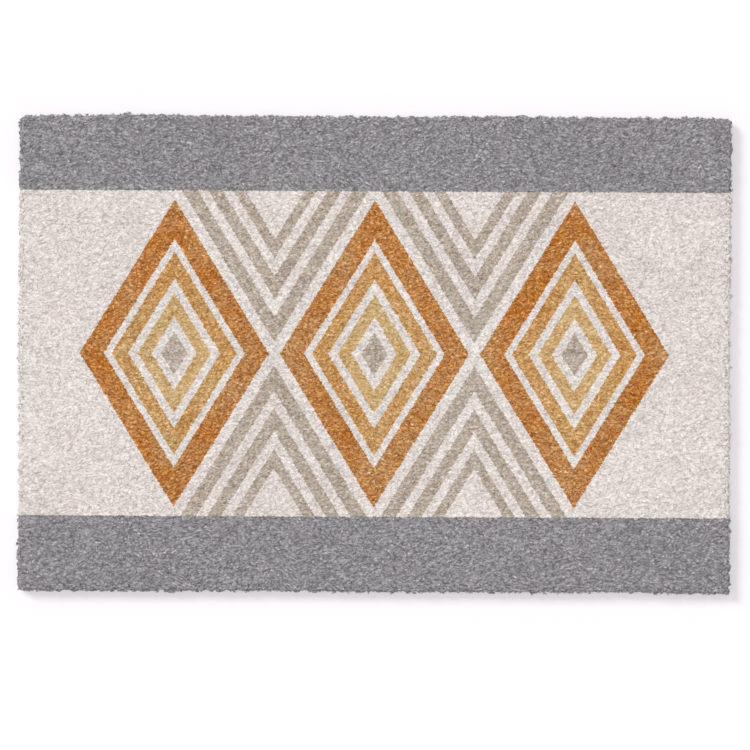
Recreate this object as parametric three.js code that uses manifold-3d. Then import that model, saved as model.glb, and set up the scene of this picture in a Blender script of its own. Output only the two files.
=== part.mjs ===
// Doormat: one piece, a short dense pile cut to a rectangle with soft corners.
// Millimetres, +Z up. The origin is at the middle of the underside, +X runs along the length,
// and the mat lies flat with its pile up.

import * as THREE from 'three';
import * as BufferGeometryUtils from 'three/addons/utils/BufferGeometryUtils.js';
import Module from 'manifold-3d';

const LENGTH = 750;
const WIDTH = 502;
const THICKNESS = 15;

// The cut edge. Each corner has its own radius, because a knife rounds them by hand.
const CORNERS = [
  { name: 'front right', x: 1, y: -1, radius: 3 },
  { name: 'back right', x: 1, y: 1, radius: 6 },
  { name: 'back left', x: -1, y: 1, radius: 9 },
  { name: 'front left', x: -1, y: -1, radius: 6 },
];
const EDGE_STEP = 5;
const CORNER_STEPS = 4;

// How the edge wanders: waves round the whole rim, then clumps of pile that stand out from it.
const EDGE_WAVES = [
  { turns: 7, reach: 0.45, phase: 0.8 },
  { turns: 13, reach: 0.3, phase: 2.1 },
];
const EDGE_CLUMPS = [
  { turns: 97, reach: 0.35, phase: 0.0 },
  { turns: 149, reach: 0.4, phase: 1.3 },
  { turns: 191, reach: 0.35, phase: 0.4 },
];
const EDGE_REACH = 1.6;
const CLUMP_SHIFT = 1.9;

// The wall leans in where the mat meets the floor and is fullest at mid height.
const WALL_TIERS = 2;
const FOOT_INSET = 0.8;

// The top: a soft arris round the rim, and lumps where the pile is fuller or thinner.
const ARRIS_WIDTH = 10;
const ARRIS_DROP = 2.6;
const ARRIS_LINES = [0, 2.5, 5.5, 10];
const TOP_PITCH = 16;
const LUMP_DEPTH = 0.9;
const LUMP_SPREAD = 83.7;

// How far the blocks that are cut to the mat reach past it, and how near two points are the same.
const BEYOND = 6;
const SAME_PLACE = 0.01;
const FULL_TURN = 2 * Math.PI;

// The straight-sided rectangle with round corners, as points with their outward direction.
function rimPoints() {
  const halfLength = LENGTH / 2 - EDGE_REACH;
  const halfWidth = WIDTH / 2 - EDGE_REACH;
  const points = [];
  CORNERS.forEach((corner, index) => {
    const next = CORNERS[(index + 1) % CORNERS.length];
    const start = (index - 1) * (Math.PI / 2);
    const centre = (c) => new THREE.Vector2(c.x * (halfLength - c.radius), c.y * (halfWidth - c.radius));
    const at = (c, angle) => {
      const outward = new THREE.Vector2(Math.cos(angle), Math.sin(angle));
      return { place: centre(c).addScaledVector(outward, c.radius), outward };
    };
    for (let step = 0; step < CORNER_STEPS; step += 1) {
      points.push(at(corner, start + (step / CORNER_STEPS) * (Math.PI / 2)));
    }
    const leaving = at(corner, start + Math.PI / 2);
    const arriving = at(next, start + Math.PI / 2);
    const run = leaving.place.distanceTo(arriving.place);
    const steps = Math.round(run / EDGE_STEP);
    for (let step = 0; step < steps; step += 1) {
      const place = leaving.place.clone().lerp(arriving.place, step / steps);
      points.push({ place, outward: leaving.outward });
    }
  });
  return points;
}

function waves(rows, share, shift) {
  return rows.reduce((sum, row) => {
    return sum + row.reach * Math.sin(FULL_TURN * row.turns * share + row.phase + shift);
  }, 0);
}

// How far the rim stands out from the straight rectangle, at a share of the way round it.
// Each tier of the wall has clumps of its own.
function edgeWander(share, tier) {
  const wander = waves(EDGE_WAVES, share, 0) + waves(EDGE_CLUMPS, share, tier * CLUMP_SHIFT);
  const foot = tier === 0 ? FOOT_INSET : 0;
  return THREE.MathUtils.clamp(wander, -EDGE_REACH, EDGE_REACH) - foot;
}

// The block inside the cut edge, taller than the mat, with an uneven wall.
function edgeGeometry() {
  const rim = rimPoints();
  const height = THICKNESS + BEYOND;
  const outline = new THREE.Shape(rim.map((point) => point.place));
  const geometry = new THREE.ExtrudeGeometry(outline, {
    depth: height,
    steps: WALL_TIERS,
    bevelEnabled: false,
  });
  const position = geometry.attributes.position;
  const spot = new THREE.Vector2();
  for (let i = 0; i < position.count; i += 1) {
    spot.set(position.getX(i), position.getY(i));
    const index = rim.findIndex((point) => point.place.distanceTo(spot) < SAME_PLACE);
    const tier = Math.round((position.getZ(i) / height) * WALL_TIERS);
    const { place, outward } = rim[index];
    const moved = place.clone().addScaledVector(outward, edgeWander(index / rim.length, tier));
    position.setXY(i, moved.x, moved.y);
  }
  return geometry;
}

// Lines across one direction of the top: close together over the arris, evenly spaced between.
function topLines(size) {
  const half = size / 2;
  const inner = half - ARRIS_LINES[ARRIS_LINES.length - 1];
  const cells = Math.round((2 * inner) / TOP_PITCH);
  const middle = [];
  for (let cell = 1; cell < cells; cell += 1) {
    middle.push(-inner + (cell * 2 * inner) / cells);
  }
  const low = [-half - BEYOND, ...ARRIS_LINES.map((inset) => inset - half)];
  const high = low.map((line) => -line).reverse();
  return [...low, ...middle, ...high];
}

// How thin the pile is at a crossing of two lines, from 0 to 1, scattered but always the same.
function thinness(column, row) {
  const scattered = LUMP_SPREAD * Math.sin(column * LUMP_SPREAD + row * (LUMP_SPREAD + 1));
  return scattered - Math.floor(scattered);
}

function topHeight(x, y, thin) {
  const toEdge = Math.min(LENGTH / 2 - Math.abs(x), WIDTH / 2 - Math.abs(y));
  const near = 1 - THREE.MathUtils.clamp(toEdge / ARRIS_WIDTH, 0, 1);
  return THICKNESS - LUMP_DEPTH * thin - ARRIS_DROP * near * near;
}

// A block that is wider than the mat, whose top has the mat's arris and lumps.
function topGeometry() {
  const linesX = topLines(LENGTH);
  const linesY = topLines(WIDTH);
  const cellsX = linesX.length - 1;
  const cellsY = linesY.length - 1;
  const geometry = new THREE.BoxGeometry(cellsX, cellsY, 1, cellsX, cellsY, 1);
  const position = geometry.attributes.position;
  for (let i = 0; i < position.count; i += 1) {
    const column = Math.round(position.getX(i) + cellsX / 2);
    const row = Math.round(position.getY(i) + cellsY / 2);
    const x = linesX[column];
    const y = linesY[row];
    const z = position.getZ(i) > 0 ? topHeight(x, y, thinness(column, row)) : -BEYOND;
    position.setXYZ(i, x, y, z);
  }
  return geometry;
}

const wasm = await Module();
wasm.setup();

function solid(geometry) {
  geometry.deleteAttribute('normal');
  geometry.deleteAttribute('uv');
  const merged = BufferGeometryUtils.mergeVertices(geometry, 1e-4);
  return new wasm.Manifold(new wasm.Mesh({
    numProp: 3,
    vertProperties: new Float32Array(merged.attributes.position.array),
    triVerts: new Uint32Array(merged.index.array),
  }));
}

function geometryOf(manifold) {
  const { numProp, vertProperties, triVerts } = manifold.getMesh();
  const geometry = new THREE.BufferGeometry();
  geometry.setAttribute('position', new THREE.BufferAttribute(new Float32Array(vertProperties), numProp));
  geometry.setIndex(new THREE.BufferAttribute(new Uint32Array(triVerts), 1));
  geometry.computeVertexNormals();
  return geometry;
}

function mat() {
  const body = solid(edgeGeometry()).intersect(solid(topGeometry()));
  const pile = new THREE.MeshStandardMaterial({ color: 0xdfd5d0, roughness: 0.95, metalness: 0 });
  const mesh = new THREE.Mesh(geometryOf(body), pile);
  mesh.name = 'mat';
  return mesh;
}

const doormat = new THREE.Group();
doormat.add(mat());

export default doormat;
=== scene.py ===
"""Doormat: a short dense pile of curled tufts in a plain ground, printed in bands and lozenges."""

import math

import bpy
import numpy as np
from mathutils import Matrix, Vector


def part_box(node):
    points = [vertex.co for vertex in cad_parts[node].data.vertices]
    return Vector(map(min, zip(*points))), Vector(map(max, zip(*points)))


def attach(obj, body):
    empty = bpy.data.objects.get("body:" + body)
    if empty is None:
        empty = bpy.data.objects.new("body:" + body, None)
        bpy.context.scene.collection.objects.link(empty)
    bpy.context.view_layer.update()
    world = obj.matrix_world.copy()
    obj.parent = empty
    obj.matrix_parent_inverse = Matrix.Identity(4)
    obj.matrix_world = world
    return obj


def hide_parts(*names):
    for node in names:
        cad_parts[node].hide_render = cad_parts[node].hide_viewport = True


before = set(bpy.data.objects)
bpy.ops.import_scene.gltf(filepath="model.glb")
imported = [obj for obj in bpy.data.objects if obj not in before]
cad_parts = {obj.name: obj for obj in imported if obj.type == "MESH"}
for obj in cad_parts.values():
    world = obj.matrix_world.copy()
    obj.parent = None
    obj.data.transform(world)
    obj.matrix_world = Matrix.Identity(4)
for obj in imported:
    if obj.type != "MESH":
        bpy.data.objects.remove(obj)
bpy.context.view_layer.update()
mat_low, mat_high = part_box("mat")

MM = 0.001
LENGTH = mat_high.x - mat_low.x
WIDTH = mat_high.y - mat_low.y
THICKNESS = mat_high.z - mat_low.z
SEED = 7

# The cut edge, as a knife leaves it: each corner's side along X, side along Y and radius, from the
# front right one round to the front left one.
CORNERS = ((1, -1, 3 * MM), (1, 1, 6 * MM), (-1, 1, 9 * MM), (-1, -1, 6 * MM))
# How the edge wanders: turns round the whole rim, reach and phase of each wave.
EDGE_WAVES = (
    (7, 0.45 * MM, 0.8),
    (13, 0.3 * MM, 2.1),
    (97, 0.3 * MM, 0.0),
    (149, 0.3 * MM, 1.3),
    (191, 0.3 * MM, 0.4),
)
# Room for the wander, between the mat's box and the straight rectangle that the edge is cut to.
EDGE_ROOM = 0.95 * MM
EDGE_HALF = np.array((LENGTH, WIDTH)) / 2 - EDGE_ROOM

# The pile: curled tufts, each a short bent spindle that rises out of the ground and dips back in.
# Each row is set off from the next, and each tuft strays, by a share of the pitch.
TUFT_PITCH = (3.3 * MM, 2.1 * MM)
ROW_STAGGER = 0.25
TUFT_STRAY = 0.5
TUFT_LENGTH = (3.9 * MM, 6.3 * MM)
TUFT_RADIUS = (1.0 * MM, 1.4 * MM)
TUFT_BEND = 0.9 * MM
TUFT_DIP = 1.0 * MM
DIP_POWER = 2.2
TUFT_FLATNESS = 0.65
TUFT_TAPER = 0.8
# A tuft's section: one corner over its crest and two low on its flanks. Its rings, from tip to tip.
TUFT_SECTION = tuple(math.radians(angle) for angle in (0, -120, 120))
TUFT_RINGS = (-0.55, 0.55)
# How far tufts lift, tilt, turn off the mat's length and roll, each in its own way.
TUFT_LIFT = 0.18 * MM
LIFT_LIMITS = (-2 * MM, 1.2 * MM)
TUFT_TILT = 0.07
TUFT_AIM = 0.58
TUFT_ROLL = 0.3
# How they turn together: waves of aim over the mat, as lengths along X and Y and a phase.
AIM_WAVES = ((61 * MM, 143 * MM, 0.3), (-97 * MM, 53 * MM, 2.0), (211 * MM, -89 * MM, 4.1))
AIM_SWING = 0.12
# The level that the tufts stand at on the flat, the least that they clear the floor by, and the
# strips that they are joined into.
PILE_TOP = THICKNESS - 1.6 * MM
FLOOR_GAP = 0.2 * MM
PILE_STRIPS = 6

# The rim, where the pile turns over the arris and down the wall. Along the edge its tufts stand
# closer than on the flat. They are thinner, sunk by a share of their radius, and nearly upright.
RIM_PITCH = (1.8 * MM, 2.7 * MM)
RIM_ROUND = 4.5 * MM
RIM_GIRTH = 0.75
RIM_SUNK = 0.7
RIM_UPRIGHT = math.radians(85)
RIM_LIFT = 0.5 * MM
RIM_TILT = 0.2
# A share of them stand out as nubs.
RIM_NUB = 1.1 * MM
NUB_SHARE = 0.12
# Tufts in one place of the rim stand out or stay back together, but no further back than this.
RIM_CLUMP = 0.7 * MM
RIM_BACK = 1.3 * MM
# The wall leans in where the mat meets the floor.
FOOT_INSET = 0.9 * MM

# How far light evens out the shade as it soaks through the fibre, and into the rim from above.
PILE_SOFTNESS = 0.78
RIM_GLOW = 1.0
# Each tuft's own tone: how much they vary, the share that is paler, and by how much.
TONE_SPREAD = 0.6
PALE_SHARE = 0.08
PALE_TONE = (0.5, 1.8)
# A point's depth is told in dips under the level that its tuft stands at, between these limits.
DEPTH_LIMITS = (-0.5, 1.0)

# The tufts' map, and the margin round each tuft's patch of it.
TUFT_MAP = "OFBake"
PATCH_MARGIN = 0.06

# The ground that the tufts stand in. It stays inside the pile: set in from the cut edge, leaning
# in down to its foot, and falling off at its own edge.
GROUND_TOP = THICKNESS - 2.15 * MM
GROUND_INSET = 2.4 * MM
GROUND_LEAN = 1.2 * MM
GROUND_FALL = 0.7 * MM
GROUND_CELL = 6.0 * MM
GROUND_LUMP = 0.3 * MM
# Stands in for a length of nought, which nothing can be divided by.
ALMOST_NONE = 1e-9

# The print: a grey band along each long edge, and a row of nested lozenges between. Ink spreads
# along the fibres that it meets.
BAND = 0.16 * WIDTH
FIELD = WIDTH / 2 - BAND
LOZENGE_PITCH = 0.28 * LENGTH
INK_SPREAD = 3.5 * MM
INK_FIBRES = 500.0


def linear(red, green, blue):
    """A colour given as a screen shows it, from 0 to 255, as the light it gives off."""
    shares = [value / 255 for value in (red, green, blue)]
    lights = [s / 12.92 if s <= 0.04045 else ((s + 0.055) / 1.055) ** 2.4 for s in shares]
    return (*lights, 1.0)


OFF_WHITE = linear(231, 222, 216)
GREY = linear(144, 141.2, 144)
RUST = linear(191.5, 128, 67)
OCHRE = linear(203.5, 154.5, 94)
GOLD = linear(208.5, 173, 119)
TAUPE = linear(186.5, 172.3, 157.7)

# Across the lozenges from a middle outwards, and on into the chevrons between them: where each
# colour starts, as a share of the way from a lozenge's middle to its side, which is 1.
LOZENGE_INKS = (
    (0.00, TAUPE),
    (0.13, OFF_WHITE),
    (0.22, GOLD),
    (0.36, OFF_WHITE),
    (0.46, OCHRE),
    (0.62, OFF_WHITE),
    (0.70, RUST),
    (0.94, OFF_WHITE),
    (1.07, TAUPE),
    (1.22, OFF_WHITE),
    (1.33, TAUPE),
    (1.47, OFF_WHITE),
    (1.58, TAUPE),
    (1.70, OFF_WHITE),
)
RAMP_END = 2.0

# What the fibre makes of the ink. A SCALE is a noise's turns to the metre. A pair is what the
# noise's low side and high side give, and where there are four numbers, the last two are those
# sides. A LIGHT multiplies the colour, and a PALER lifts a dark ink more than a pale one.
NOISE_MIDDLE = 0.5
PATCH_SCALE = 14.0
PATCH_LIGHT = (0.968, 1.032)
TINT_SCALE = 45.0
COOL_TINT = (0.99, 1.003, 1.0, 1.0)
WARM_TINT = (1.01, 0.997, 1.0, 1.0)
UNEVEN_SCALE = 28.0
UNEVEN_HUE = (0.494, 0.506)
UNEVEN_FULLNESS = (1.07, 0.93)
TONE_LIGHT = 0.035
TONE_PALER = 0.06
# A painted highlight: how much paler the crests of raised tufts are made.
CREST_HIGHLIGHT_PALER = 0.35
# Curls lie in patches, each turned off the mat's length, and their tones are drawn out along them.
# They turn by one of four angles, so the high end is just short of where a fifth would start.
CURL_SCALE = 34.0
CURL_ANGLE = math.radians(28)
CURL_TURN = (-CURL_ANGLE, CURL_ANGLE * 0.999, 0.38, 0.68)
CURL_STRETCH = (0.78, 1.06, 1.0)
CLUMP_SCALE = 210.0
CLUMP_LIGHT = (0.94, 1.055)
# Painted shade: how much darker the winding valley lines between curls are made.
VALLEY_SCALE = 232.0
VALLEY_SHADE_LIGHT = (0.73, 1.035, 0.0, 0.075)
VALLEY_SHADE_PALER = (-0.22, 0.045, 0.0, 0.07)
DASH_SCALE = 420.0
DASH_STRETCH = (0.74, 1.1, 1.0)
DASH_LIGHT = (0.87, 1.07)
DASH_PALER = (-0.21, 0.21)
FLECK_SCALE = 440.0
FLECK_PALER = (0.0, 0.47, 0.58, 0.75)
# The fullest ink took the most unevenly.
FULL_CONTRAST = (1.0, 1.45, 0.7, 0.9)
# How close single fibres lie: along X, Y and Z of the mat, and round and along a tuft on its map.
STRAND_SCALE = (540, 2500, 2500)
TUFT_STRAND_SCALE = (900, 160, 1)
STRAND_LIGHT = (0.945, 1.055)
STRAND_RAISED = 0.2 * MM

# Nothing here shines. The sheen is the bloom of loose fibre ends.
PILE_ROUGHNESS = 0.85
GLOSS = 0.25
SHEEN = 0.15
SHEEN_ROUGHNESS = 0.5

# The plain underside: the tones and the grain of a moulded sheet.
BACKING_ROUGHNESS = 0.8
BACKING_DARK = linear(153, 149, 143)
BACKING_PALE = linear(163, 159, 152)
BACKING_SCALE = 25.0
GRAIN_SCALE = 500.0
GRAIN_LIGHT = (0.88, 1.08)
GRAIN_STRENGTH = 0.6
GRAIN_RAISED = 0.4 * MM


class Nodes:
    """Adds nodes to one tree. A value is a number, a colour or another node's output."""

    def __init__(self, tree):
        self.tree = tree

    def set(self, socket, value):
        if isinstance(value, bpy.types.NodeSocket):
            self.tree.links.new(value, socket)
        else:
            socket.default_value = value

    def add(self, kind, inputs=None, **settings):
        node = self.tree.nodes.new(kind)
        for name, value in settings.items():
            setattr(node, name, value)
        for name, value in (inputs or {}).items():
            self.set(node.inputs[name], value)
        return node

    def math(self, operation, first, second=0.0, third=0.0):
        node = self.add("ShaderNodeMath", operation=operation)
        for socket, value in zip(node.inputs, (first, second, third)):
            self.set(socket, value)
        return node.outputs[0]

    def vector(self, operation, first, second, third=(0.0, 0.0, 0.0)):
        node = self.add("ShaderNodeVectorMath", operation=operation)
        for socket, value in zip(node.inputs, (first, second, third)):
            self.set(socket, value)
        return node.outputs["Vector"]

    def noise(self, place, scale, detail=2.0, roughness=0.5, output="Fac"):
        inputs = {"Vector": place, "Scale": scale, "Detail": detail, "Roughness": roughness}
        return self.add("ShaderNodeTexNoise", inputs).outputs[output]

    def spread(self, value, low, high, start=0.3, end=0.7):
        """A noise's middle range, start to end, brought to low to high."""
        inputs = {"Value": value, "From Min": start, "From Max": end, "To Min": low, "To Max": high}
        return self.add("ShaderNodeMapRange", inputs).outputs["Result"]

    def grey(self, light):
        channels = {"Red": light, "Green": light, "Blue": light}
        return self.add("ShaderNodeCombineColor", channels).outputs["Color"]

    def bump(self, height, strength, distance):
        inputs = {"Height": height, "Strength": strength, "Distance": distance}
        return self.add("ShaderNodeBump", inputs).outputs["Normal"]

    def mix(self, share, first, second, blend="MIX"):
        node = self.add("ShaderNodeMix", data_type="RGBA", blend_type=blend)
        colours = [socket for socket in node.inputs if socket.type == "RGBA"]
        self.set(node.inputs["Factor"], share)
        self.set(colours[0], first)
        self.set(colours[1], second)
        return next(socket for socket in node.outputs if socket.type == "RGBA")


def group(name, inputs, outputs):
    """An empty node group with named sockets: its nodes, its input sockets and its output node."""
    tree = bpy.data.node_groups.new(name, "ShaderNodeTree")
    for socket, kind in inputs:
        tree.interface.new_socket(socket, in_out="INPUT", socket_type="NodeSocket" + kind)
    for socket, kind in outputs:
        tree.interface.new_socket(socket, in_out="OUTPUT", socket_type="NodeSocket" + kind)
    nodes = Nodes(tree)
    return tree, nodes, nodes.add("NodeGroupInput").outputs, nodes.add("NodeGroupOutput")


def print_group():
    """The colour printed at a place on the mat."""
    tree, nodes, given, result = group("Printed colour", [("Place", "Vector")], [("Ink", "Color")])
    # Ink spreads a little, so no edge of the print is quite straight.
    fibres = nodes.noise(given["Place"], INK_FIBRES, detail=1.0, output="Color")
    stray = nodes.vector("SUBTRACT", fibres, (NOISE_MIDDLE,) * 3)
    place = nodes.vector("MULTIPLY_ADD", stray, (INK_SPREAD,) * 3, given["Place"])
    place = nodes.add("ShaderNodeSeparateXYZ", {"Vector": place}).outputs
    across = nodes.math("ABSOLUTE", place["Y"])
    along = nodes.math("ABSOLUTE", place["X"])
    half_pitch = LOZENGE_PITCH / 2
    folded = nodes.math("PINGPONG", along, half_pitch)
    beyond = nodes.math("SUBTRACT", along, LOZENGE_PITCH)
    from_middle = nodes.math("DIVIDE", nodes.math("MAXIMUM", folded, beyond), half_pitch)
    outwards = nodes.math("ADD", from_middle, nodes.math("DIVIDE", across, FIELD))
    # Chevrons stand only between lozenges, so past the outer ones the field stays plain.
    between = nodes.math("LESS_THAN", along, LOZENGE_PITCH)
    outwards = nodes.math("MINIMUM", outwards, nodes.math("ADD", between, 1.0))
    share = nodes.math("MULTIPLY", outwards, 1 / RAMP_END)
    ramp = nodes.add("ShaderNodeValToRGB", {"Fac": share})
    ramp.color_ramp.interpolation = "CONSTANT"
    stops = ramp.color_ramp.elements
    stops.remove(stops[1])
    for start, colour in LOZENGE_INKS:
        stop = stops[0] if start == 0 else stops.new(start / RAMP_END)
        stop.color = colour
    in_band = nodes.math("GREATER_THAN", across, FIELD)
    nodes.set(result.inputs["Ink"], nodes.mix(in_band, ramp.outputs["Color"], GREY))
    return tree


def fibre_group():
    """What the fibre makes of the ink: patches of tint and tone, curls parted by winding valley
    lines in painted shade, paler flecks, single fibres, painted shade deep in the pile, and a
    painted highlight on raised crests."""
    inputs = [
        ("Ink", "Color"),
        ("Place", "Vector"),
        ("Strand place", "Vector"),
        ("Tone", "Float"),
        ("Depth", "Float"),
        ("Deep", "Float"),
    ]
    outputs = [("Colour", "Color"), ("Height", "Float")]
    tree, nodes, given, result = group("Fibre tone and painted light", inputs, outputs)
    place, ink, tone, depth = (given[name] for name in ("Place", "Ink", "Tone", "Depth"))

    patches = nodes.spread(nodes.noise(place, PATCH_SCALE, detail=3.0), *PATCH_LIGHT)
    tint = nodes.spread(nodes.noise(place, TINT_SCALE, detail=1.0), 0.0, 1.0)
    tint = nodes.mix(tint, COOL_TINT, WARM_TINT)
    # Warm inks took unevenly, from a redder and fuller colour to a yellower and thinner one.
    uneven = nodes.noise(place, UNEVEN_SCALE)
    taken = {
        "Color": ink,
        "Hue": nodes.spread(uneven, *UNEVEN_HUE),
        "Saturation": nodes.spread(uneven, *UNEVEN_FULLNESS),
    }
    taken = nodes.add("ShaderNodeHueSaturation", taken).outputs["Color"]
    # Painted shade and light: points deep in the pile are darker, raised ones a little lighter.
    shade = nodes.math("MULTIPLY_ADD", depth, given["Deep"], 1.0)
    shade = nodes.math("MULTIPLY_ADD", tone, TONE_LIGHT, shade)

    # Each patch of curls is turned by one of four angles.
    lean = nodes.spread(nodes.noise(place, CURL_SCALE, detail=1.0), *CURL_TURN)
    lean = nodes.math("ADD", nodes.math("SNAP", lean, CURL_ANGLE / 2), CURL_ANGLE / 4)
    turned = {"Vector": place, "Angle": lean}
    turned = nodes.add("ShaderNodeVectorRotate", turned, rotation_type="Z_AXIS").outputs["Vector"]
    curls = nodes.vector("MULTIPLY", turned, CURL_STRETCH)
    clumps = nodes.spread(nodes.noise(curls, CLUMP_SCALE, detail=0.0), *CLUMP_LIGHT)
    # Winding valley lines part the curls, where a noise crosses its middle. They are darkened
    # there as painted shade.
    winding = nodes.noise(curls, VALLEY_SCALE, detail=0.0)
    winding = nodes.math("ABSOLUTE", nodes.math("SUBTRACT", winding, NOISE_MIDDLE))
    valley_shade = nodes.spread(winding, *VALLEY_SHADE_LIGHT)
    # From here the clumps' tone also carries the painted valley shade.
    clumps = nodes.math("MULTIPLY", clumps, valley_shade)
    # Curled fibres that lie side by side make short dashes, some with more ink than others.
    dashes = nodes.noise(nodes.vector("MULTIPLY", curls, DASH_STRETCH), DASH_SCALE, detail=1.0)
    light = nodes.math("MULTIPLY", nodes.math("MULTIPLY", patches, clumps), shade)
    light = nodes.math("MULTIPLY", light, nodes.spread(dashes, *DASH_LIGHT))
    # Single fibres are much finer.
    strands = nodes.noise(given["Strand place"], 1.0, roughness=0.6)
    light = nodes.math("MULTIPLY", light, nodes.spread(strands, *STRAND_LIGHT))
    fullness = nodes.add("ShaderNodeSeparateColor", {"Color": ink}, mode="HSV").outputs[1]
    light = nodes.math("POWER", light, nodes.spread(fullness, *FULL_CONTRAST))

    # A power below one lifts a dark ink much more than a pale one.
    # Raised crests are made paler, as a painted highlight.
    crest = nodes.math("MAXIMUM", nodes.math("MULTIPLY", depth, -1.0), 0.0)
    flecks = nodes.spread(nodes.noise(curls, FLECK_SCALE, detail=1.0), *FLECK_PALER)
    paler = nodes.math("ADD", nodes.math("MULTIPLY", crest, CREST_HIGHLIGHT_PALER), flecks)
    paler = nodes.math("ADD", paler, nodes.spread(dashes, *DASH_PALER))
    paler = nodes.math("MULTIPLY_ADD", tone, TONE_PALER, paler)
    # Valley lines are made darker still as painted shade, and the curls between them a little
    # paler.
    paler = nodes.math("ADD", paler, nodes.spread(winding, *VALLEY_SHADE_PALER))
    # The ink made paler or darker by tone, flecks and dashes, a painted highlight on crests and
    # painted shade in the valley lines.
    tone_and_painted_light = {"Color": taken, "Gamma": nodes.math("SUBTRACT", 1.0, paler)}
    tone_and_painted_light = nodes.add("ShaderNodeGamma", tone_and_painted_light).outputs["Color"]

    colour = nodes.mix(1.0, tone_and_painted_light, tint, "MULTIPLY")
    colour = nodes.mix(1.0, colour, nodes.grey(light), "MULTIPLY")
    nodes.set(result.inputs["Colour"], colour)
    nodes.set(result.inputs["Height"], strands)
    return tree


def blank_material(name, roughness):
    material = bpy.data.materials.new(name)
    material.use_nodes = True
    nodes = Nodes(material.node_tree)
    shader = material.node_tree.nodes["Principled BSDF"]
    shader.inputs["Roughness"].default_value = roughness
    shader.inputs["Specular IOR Level"].default_value = GLOSS
    shader.inputs["Sheen Weight"].default_value = SHEEN
    shader.inputs["Sheen Roughness"].default_value = SHEEN_ROUGHNESS
    return material, nodes, shader


def fibre_material(name, printed, fibre, tone, depth, deep, bump, tufted):
    """Printed fibre. tone and depth are the mesh's own values where they are names, or else
    numbers, and deep is how strongly depth darkens a point as painted shade. In a tufted mesh
    single fibres run along each tuft, and otherwise along the mat."""
    material, nodes, shader = blank_material(name, PILE_ROUGHNESS)

    def own(value):
        if isinstance(value, str):
            return nodes.add("ShaderNodeAttribute", attribute_name=value).outputs["Fac"]
        return value

    place = nodes.add("ShaderNodeTexCoord").outputs["Object"]
    ink = nodes.add("ShaderNodeGroup", node_tree=printed)
    nodes.set(ink.inputs["Place"], place)
    # The fibre's tone, with its painted shade and painted highlight, laid on the printed ink.
    tone_and_painted_light = nodes.add("ShaderNodeGroup", node_tree=fibre)
    if tufted:
        tufts = nodes.add("ShaderNodeUVMap", uv_map=TUFT_MAP).outputs["UV"]
        strand_place = nodes.vector("MULTIPLY", tufts, TUFT_STRAND_SCALE)
    else:
        strand_place = nodes.vector("MULTIPLY", place, STRAND_SCALE)
    values = {
        "Ink": ink.outputs["Ink"],
        "Place": place,
        "Strand place": strand_place,
        "Tone": own(tone),
        "Depth": own(depth),
        "Deep": deep,
    }
    for socket, value in values.items():
        nodes.set(tone_and_painted_light.inputs[socket], value)
    nodes.set(shader.inputs["Base Color"], tone_and_painted_light.outputs["Colour"])
    raised = nodes.bump(tone_and_painted_light.outputs["Height"], bump, STRAND_RAISED)
    nodes.set(shader.inputs["Normal"], raised)
    return material


def rim(inset, step):
    """Points round the cut edge, at an inset from it: their places, their outward directions and
    their shares of the way round."""
    def at(corner, angle):
        side_x, side_y, radius = corner
        outward = np.array((math.cos(angle), math.sin(angle)))
        centre = np.array((side_x, side_y)) * (EDGE_HALF - radius)
        return centre + outward * (radius - inset), outward

    places, outwards = [], []
    for index, corner in enumerate(CORNERS):
        following = CORNERS[(index + 1) % len(CORNERS)]
        start = (index - 1) * math.pi / 2
        turn_steps = max(2, round(corner[2] * math.pi / 2 / step))
        for k in range(turn_steps):
            place, outward = at(corner, start + k / turn_steps * math.pi / 2)
            places.append(place)
            outwards.append(outward)
        leaving, outward = at(corner, start + math.pi / 2)
        arriving, _ = at(following, start + math.pi / 2)
        run_steps = round(float(np.linalg.norm(arriving - leaving)) / step)
        for k in range(run_steps):
            places.append(leaving + (arriving - leaving) * k / run_steps)
            outwards.append(outward)
    return np.array(places), np.array(outwards), np.arange(len(places)) / len(places)


def edge_wander(share):
    """How far the rim stands out from the straight rectangle, at a share of the way round it."""
    return sum(
        reach * np.sin(2 * math.pi * turns * share + phase)
        for turns, reach, phase in EDGE_WAVES
    )


def top_sites(rng):
    """Where tufts stand on the flat of the mat: places, normals, the direction that counts as
    along, lift, tilt and girth."""
    columns, rows = np.ceil(2 * (EDGE_HALF - RIM_ROUND) / TUFT_PITCH).astype(int)
    row, column = np.mgrid[0:rows, 0:columns].reshape(2, -1)
    stray = rng.uniform(-TUFT_STRAY, TUFT_STRAY, (2, len(row)))
    x = (column + 0.5 + ROW_STAGGER * (-1.0) ** row + stray[0] - columns / 2) * TUFT_PITCH[0]
    y = (row + 0.5 + stray[1] - rows / 2) * TUFT_PITCH[1]
    # Tufts at a rounded corner would stand outside the rim.
    gone = np.zeros(len(x), bool)
    for side_x, side_y, radius in CORNERS:
        past_x = side_x * x - (EDGE_HALF[0] - radius)
        past_y = side_y * y - (EDGE_HALF[1] - radius)
        outside = np.hypot(past_x, past_y) > radius - RIM_ROUND / 2
        gone |= (past_x > 0) & (past_y > 0) & outside
    x, y = x[~gone], y[~gone]
    places = np.stack([x, y, np.full(len(x), PILE_TOP)], 1)
    lift = rng.normal(0, TUFT_LIFT, len(x))
    tilt = rng.normal(0, TUFT_TILT, len(x))
    normals = np.tile((0.0, 0.0, 1.0), (len(x), 1))
    along = np.tile((1.0, 0.0, 0.0), (len(x), 1))
    return places, normals, along, lift, tilt, np.ones(len(x))


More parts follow.
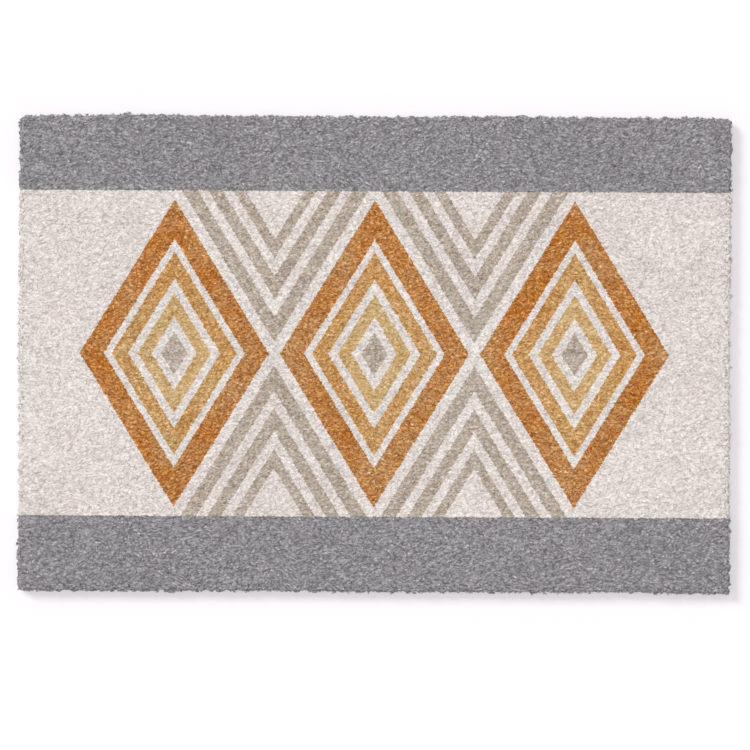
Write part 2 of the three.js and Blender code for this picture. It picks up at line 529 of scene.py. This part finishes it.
def rim_sites(rng):
    """Where tufts stand round the rim, from the turn of the arris down to the floor: the same
    values as on the flat."""
    arc = RIM_ROUND * math.pi / 2
    wall = PILE_TOP - RIM_ROUND - TUFT_RADIUS[0]
    rows = round((arc + wall) / RIM_PITCH[1] + 0.5)
    base, outward, share = rim(RIM_ROUND, RIM_PITCH[0])
    # Any further back, and the ground's wall would show.
    stand = edge_wander(share) + rng.normal(0, RIM_CLUMP, len(base))
    stand = np.maximum(stand, -RIM_BACK)
    found = []
    # The first row stands half a pitch down and the last at the floor.
    for row in range(rows):
        down = (row + 0.5) / (rows - 0.5) * (arc + wall)
        stray = rng.uniform(-TUFT_STRAY, TUFT_STRAY, (2, len(base)))
        along = np.stack([-outward[:, 1], outward[:, 0]], 1)
        down = np.clip(down + stray[0] * RIM_PITCH[1], 0, arc + wall)
        angle = np.minimum(down / RIM_ROUND, math.pi / 2)
        reach = (RIM_ROUND + stand - TUFT_RADIUS[0] * RIM_SUNK) * np.sin(angle)
        reach -= FOOT_INSET * np.maximum(down - arc, 0) / wall
        flat = base + outward * reach[:, None] + along * (stray[1] * RIM_PITCH[0])[:, None]
        height = PILE_TOP - RIM_ROUND * (1 - np.cos(angle)) - np.maximum(down - arc, 0)
        places = np.column_stack([flat, height])
        normals = np.column_stack([outward * np.sin(angle)[:, None], np.cos(angle)])
        nub = RIM_NUB * (rng.random(len(base)) < NUB_SHARE)
        lift = (rng.normal(0, RIM_LIFT, len(base)) + nub) * np.sin(angle) ** 2
        tilt = rng.normal(0, RIM_TILT, len(base)) * np.sin(angle)
        # On the wall they stand upright, as the fibre grows out of its ground.
        along = np.column_stack([along, np.zeros(len(base))])
        upright = np.cross(normals, along)
        turn = RIM_UPRIGHT * np.sin(angle) ** 2
        along = along * np.cos(turn)[:, None] + upright * np.sin(turn)[:, None]
        girth = 1 - (1 - RIM_GIRTH) * np.sin(angle) ** 2
        found.append((places, normals, along, lift, tilt, girth))
    return tuple(np.concatenate(parts) for parts in zip(*found))


def tuft_template():
    """One tuft's faces as lists of its points, and where each face's corners lie on the tuft's
    patch of the map. A tuft has a tip, rings with a point at each corner of its section, and
    another tip."""
    rings, sides = len(TUFT_RINGS), len(TUFT_SECTION)
    last = 1 + rings * sides
    step = 1 / (rings + 1)

    def point(ring, side):
        return 1 + ring * sides + side % sides

    faces, patch = [], []
    for side in range(sides):
        left, right = side / sides, (side + 1) / sides
        faces.append((0, point(0, side + 1), point(0, side)))
        patch.append((((left + right) / 2, 0), (right, step), (left, step)))
        for ring in range(rings - 1):
            low, high = (ring + 1) * step, (ring + 2) * step
            near = (point(ring, side), point(ring, side + 1))
            far = (point(ring + 1, side + 1), point(ring + 1, side))
            faces.append(near + far)
            patch.append(((left, low), (right, low), (right, high), (left, high)))
        faces.append((last, point(rings - 1, side), point(rings - 1, side + 1)))
        patch.append((((left + right) / 2, 1), (left, 1 - step), (right, 1 - step)))
    return faces, patch


def tuft_points(rng, places, normals, along, lift, tilt, girth):
    """The points of every tuft, which way each faces, its tuft's tone and how deep it lies."""
    count = len(places)
    length = rng.uniform(*TUFT_LENGTH, count)
    radius = rng.uniform(*TUFT_RADIUS, count) * girth
    bend = rng.uniform(-TUFT_BEND, TUFT_BEND, count)
    lift = lift.clip(*LIFT_LIMITS)
    swing = sum(
        np.sin(2 * math.pi * (places[:, 0] / wave_x + places[:, 1] / wave_y) + phase)
        for wave_x, wave_y, phase in AIM_WAVES
    )
    aim = AIM_SWING * swing + rng.normal(0, TUFT_AIM, count)
    roll = rng.uniform(-TUFT_ROLL, TUFT_ROLL, count)
    across = np.cross(normals, along)
    heading = along * np.cos(aim)[:, None] + across * np.sin(aim)[:, None]
    side = across * np.cos(aim)[:, None] - along * np.sin(aim)[:, None]
    rise = length / 2 * np.sin(tilt)

    def centre(t):
        return (
            places
            + heading * (length / 2 * t)[:, None]
            + side * (bend * (1 - t * t))[:, None]
            + normals * (lift + rise * t - TUFT_DIP * abs(t) ** DIP_POWER)[:, None]
        )

    points = [centre(-1.0)]
    facing = [-heading]
    for t in TUFT_RINGS:
        middle = centre(t)
        slope = TUFT_DIP * DIP_POWER * math.copysign(abs(t) ** (DIP_POWER - 1), t) / (length / 2)
        up = normals + heading * (slope - np.sin(tilt))[:, None]
        up /= np.linalg.norm(up, axis=1)[:, None]
        reach = radius * math.sqrt(1 - (TUFT_TAPER * t) ** 2)
        for corner in TUFT_SECTION:
            turned = roll + corner
            level, raised = np.sin(turned)[:, None], np.cos(turned)[:, None]
            ring = side * level + up * (TUFT_FLATNESS * raised)
            points.append(middle + ring * reach[:, None])
            facing.append(side * (TUFT_FLATNESS * level) + up * raised)
    points.append(centre(1.0))
    facing.append(heading)
    points = np.stack(points, 1)
    # Light soaks through the fibre as if each tuft faced more the way that the pile does.
    facing = np.stack(facing, 1)
    facing /= np.linalg.norm(facing, axis=2)[:, :, None]
    soft = normals + np.array((0, 0, RIM_GLOW))
    soft /= np.linalg.norm(soft, axis=1)[:, None]
    facing = facing * (1 - PILE_SOFTNESS) + soft[:, None] * PILE_SOFTNESS
    facing /= np.linalg.norm(facing, axis=2)[:, :, None]
    depth = -((points - places[:, None]) * normals[:, None]).sum(2) / TUFT_DIP
    # Most tufts are of a tone, and a few have lost some ink or never took it.
    tone = rng.normal(0, TONE_SPREAD, count)
    tone += (rng.random(count) < PALE_SHARE) * rng.uniform(*PALE_TONE, count)
    tone = np.repeat(tone[:, None], points.shape[1], 1)
    points[:, :, 2] = np.maximum(points[:, :, 2], FLOOR_GAP)
    return points, facing, tone, depth.clip(*DEPTH_LIMITS)


def mesh_object(name, points, corners, counts):
    """A mesh from arrays: its points, the points at its faces' corners, and each face's number of
    corners."""
    mesh = bpy.data.meshes.new(name)
    mesh.vertices.add(len(points))
    mesh.vertices.foreach_set("co", points.astype(np.float32).ravel())
    mesh.loops.add(len(corners))
    mesh.loops.foreach_set("vertex_index", corners.astype(np.int32))
    mesh.polygons.add(len(counts))
    starts = np.concatenate([[0], np.cumsum(counts)[:-1]])
    mesh.polygons.foreach_set("loop_start", starts.astype(np.int32))
    mesh.update(calc_edges=True)
    mesh.validate()
    mesh.shade_smooth()
    piece = bpy.data.objects.new(name, mesh)
    bpy.context.scene.collection.objects.link(piece)
    return piece


def own_value(piece, name, values):
    attribute = piece.data.attributes.new(name, "FLOAT", "POINT")
    attribute.data.foreach_set("value", values.astype(np.float32).ravel())


def lay_map(piece, places, patch):
    """A map with a patch for each tuft, laid out as the tufts lie, so that a texture can hold each
    one's colour."""
    count = len(places)
    columns = math.ceil(math.sqrt(count))
    by_x = np.argsort(places[:, 0], kind="stable")
    column = np.empty(count, int)
    row = np.empty(count, int)
    for k in range(columns):
        part = by_x[k * columns:(k + 1) * columns]
        part = part[np.argsort(places[part, 1], kind="stable")]
        column[part] = k
        row[part] = np.arange(len(part))
    corners = np.array([corner for face in patch for corner in face])
    corners = corners * (1 - 2 * PATCH_MARGIN) + PATCH_MARGIN
    spots = (np.stack([column, row], 1)[:, None] + corners[None]) / columns
    layer = piece.data.uv_layers.new(name=TUFT_MAP)
    layer.uv.foreach_set("vector", spots.astype(np.float32).ravel())


def pile_piece(name, rng, sites, material):
    places = sites[0]
    points, facing, tone, depth = tuft_points(rng, *sites)
    faces, patch = tuft_template()
    count, each = points.shape[:2]
    template = np.array([corner for face in faces for corner in face])
    corners = (template[None] + (np.arange(count) * each)[:, None]).ravel()
    counts = np.tile([len(face) for face in faces], count)
    piece = mesh_object(name, points.reshape(-1, 3), corners, counts)
    own_value(piece, "tuft_tone", tone)
    own_value(piece, "tuft_depth", depth)
    piece.data.normals_split_custom_set_from_vertices(facing.reshape(-1, 3))
    lay_map(piece, places, patch)
    piece.data.materials.append(material)
    return piece


def pile(material):
    """The whole pile, in strips along the mat so that no piece is too large."""
    rng = np.random.default_rng(SEED)
    sites = [np.concatenate(parts) for parts in zip(top_sites(rng), rim_sites(rng))]
    order = np.argsort(sites[0][:, 1], kind="stable")
    pieces = []
    for strip, chosen in enumerate(np.array_split(order, PILE_STRIPS), 1):
        chosen_sites = [part[chosen] for part in sites]
        pieces.append(pile_piece(f"pile_{strip}", rng, chosen_sites, material))
    return pieces


def round_corners(grid, half):
    """Draws the points of a level grid in, so that its outline has the mat's round corners."""
    for side_x, side_y, radius in CORNERS:
        sides = np.array((side_x, side_y))
        centre = sides * (half - radius)
        past = (grid - centre) * sides
        distance = np.linalg.norm(past, axis=2)
        outside = (past > 0).all(2) & (distance > radius)
        share = radius / np.maximum(distance, ALMOST_NONE)
        grid = np.where(outside[..., None], centre + past * share[..., None] * sides, grid)
    return grid


def ground_piece(material, backing):
    """The ground under the tufts: a slab with the mat's outline, a low arris, a wall that leans in
    and a flat underside."""
    rng = np.random.default_rng(SEED + 1)
    half = EDGE_HALF - GROUND_INSET
    cells = np.round(2 * half / GROUND_CELL).astype(int)
    lines = [np.linspace(-reach, reach, count + 1) for reach, count in zip(half, cells)]
    grid = round_corners(np.stack(np.meshgrid(*lines, indexing="ij"), -1), half)
    shape = grid.shape[:2]
    to_edge = np.minimum(half[0] - abs(grid[..., 0]), half[1] - abs(grid[..., 1]))
    fall = GROUND_FALL * (1 - np.clip(to_edge / GROUND_CELL, 0, 1))
    heights = GROUND_TOP - fall + rng.uniform(-GROUND_LUMP, GROUND_LUMP, shape)
    top = np.concatenate([grid, heights[..., None]], 2).reshape(-1, 3)
    foot = grid * (1 - GROUND_LEAN / half)
    bottom = np.concatenate([foot, np.zeros(shape + (1,))], 2).reshape(-1, 3)

    index = np.arange(shape[0] * shape[1]).reshape(shape)
    around = [index[:-1, :-1], index[1:, :-1], index[1:, 1:], index[:-1, 1:]]
    quads = np.stack(around, -1).reshape(-1, 4)
    border = np.concatenate([index[:-1, 0], index[-1, :-1], index[:0:-1, -1], index[0, :0:-1]])
    following = np.roll(border, -1)
    under = len(top)
    wall = np.stack([border + under, following + under, following, border], 1)
    faces = np.concatenate([quads, quads[:, ::-1] + under, wall])
    points = np.concatenate([top, bottom])
    piece = mesh_object("ground", points, faces.ravel(), np.full(len(faces), 4))
    piece.data.materials.append(material)
    piece.data.materials.append(backing)
    slots = np.zeros(len(faces), np.int32)
    slots[len(quads):2 * len(quads)] = 1
    piece.data.polygons.foreach_set("material_index", slots)
    return piece


def backing_material():
    """The plain underside, which doesn't show in the photo: a matt moulded sheet with a fine
    grain."""
    material, nodes, shader = blank_material("Backing", BACKING_ROUGHNESS)
    place = nodes.add("ShaderNodeTexCoord").outputs["Object"]
    share = nodes.noise(place, BACKING_SCALE, detail=5.0, roughness=0.65)
    sheet = nodes.mix(nodes.spread(share, 0.0, 1.0), BACKING_DARK, BACKING_PALE)
    grain = nodes.noise(place, GRAIN_SCALE, detail=3.0, roughness=0.6)
    light = nodes.grey(nodes.spread(grain, *GRAIN_LIGHT))
    nodes.set(shader.inputs["Base Color"], nodes.mix(1.0, sheet, light, "MULTIPLY"))
    nodes.set(shader.inputs["Normal"], nodes.bump(grain, GRAIN_STRENGTH, GRAIN_RAISED))
    return material


# The camera looks straight down, a little off the mat's middle and turned a little, as the photo
# does. In the photo's pixels: its side, the mat's length, and where the mat's middle is.
PICTURE = 750
MAT_PIXELS = 714
MAT_MIDDLE = (374.3, 354.1)
CAMERA_HEIGHT = 3.2
CAMERA_ROLL = math.radians(0.27)
SENSOR = 36.0
# The height at which the rim stands out the most.
WIDEST = 0.6 * THICKNESS


def add_camera():
    pixel = LENGTH / MAT_PIXELS
    data = bpy.data.cameras.new("Camera")
    camera = bpy.data.objects.new("Camera", data)
    bpy.context.scene.collection.objects.link(camera)
    data.sensor_width = SENSOR
    data.lens = SENSOR * (CAMERA_HEIGHT - WIDEST) / (pixel * PICTURE)
    aim_x = (PICTURE / 2 - MAT_MIDDLE[0]) * pixel
    aim_y = (MAT_MIDDLE[1] - PICTURE / 2) * pixel
    camera.location = (aim_x, aim_y, CAMERA_HEIGHT)
    camera.rotation_euler = (0, 0, CAMERA_ROLL)
    bpy.context.scene.camera = camera


# Soft light from the upper left of the photo, so that the shadow falls to the right and below.
KEY_STRENGTH = 1.383
KEY_SPREAD = math.radians(23)
KEY_FROM = Vector((-0.62, 0.48, 0.54))
# A panel overhead keeps the floor light right up to the mat.
PANEL_STRENGTH = 1.16
PANEL_SPREAD = math.radians(15)
PANEL_FROM = Vector((0, 0, 1))
# Sky and floor are faintly pink, so that the shadow isn't a cold grey. Seen straight, the studio is
# as white as its lit floor.
SKY_STRENGTH = 0.42
SKY_TINT = (1.0, 0.985, 1.0, 1.0)
STUDIO_WHITE = 1.1
FLOOR_WHITE = linear(255, 252, 255)
FLOOR_ROUGHNESS = 0.9
FLOOR_SIZE = 12.0
FLOOR_DEPTH = 0.1 * MM


def add_sun(name, strength, spread, place):
    light = bpy.data.lights.new(name, "SUN")
    light.energy = strength
    light.angle = spread
    sun = bpy.data.objects.new(name, light)
    sun.rotation_euler = place.to_track_quat("Z", "Y").to_euler()
    bpy.context.scene.collection.objects.link(sun)


def add_light():
    add_sun("Key", KEY_STRENGTH, KEY_SPREAD, KEY_FROM)
    add_sun("Panel", PANEL_STRENGTH, PANEL_SPREAD, PANEL_FROM)
    world = bpy.data.worlds.new("Studio")
    world.use_nodes = True
    nodes = Nodes(world.node_tree)
    seen = nodes.add("ShaderNodeLightPath").outputs["Is Camera Ray"]
    strength = nodes.math("MULTIPLY_ADD", seen, STUDIO_WHITE - SKY_STRENGTH, SKY_STRENGTH)
    sky = world.node_tree.nodes["Background"]
    sky.inputs["Color"].default_value = SKY_TINT
    nodes.set(sky.inputs["Strength"], strength)
    bpy.context.scene.world = world
    bpy.context.scene.view_settings.view_transform = "Standard"


def add_floor():
    corners = np.array([(-1, -1, 0), (1, -1, 0), (1, 1, 0), (-1, 1, 0)]) * FLOOR_SIZE / 2
    corners[:, 2] = -FLOOR_DEPTH
    floor = mesh_object("floor", corners, np.arange(4), np.array([4]))
    material, _, shader = blank_material("Floor", FLOOR_ROUGHNESS)
    shader.inputs["Base Color"].default_value = FLOOR_WHITE
    shader.inputs["Sheen Weight"].default_value = 0.0
    floor.data.materials.append(material)


add_camera()
add_light()
add_floor()
printed = print_group()
fibre = fibre_group()
pile_material = fibre_material(
    "Pile", printed, fibre,
    tone="tuft_tone", depth="tuft_depth", deep=-0.04, bump=0.6, tufted=True,
)
# The ground lies deep under the tufts, so all of it is darkened as painted shade.
ground_material = fibre_material(
    "Ground", printed, fibre,
    tone=0.0, depth=1.0, deep=-0.06, bump=0.8, tufted=False,
)

ground = ground_piece(ground_material, backing_material())
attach(ground, "root")
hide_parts("mat")
tufts = pile(pile_material)
for strip in tufts:
    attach(strip, "root")
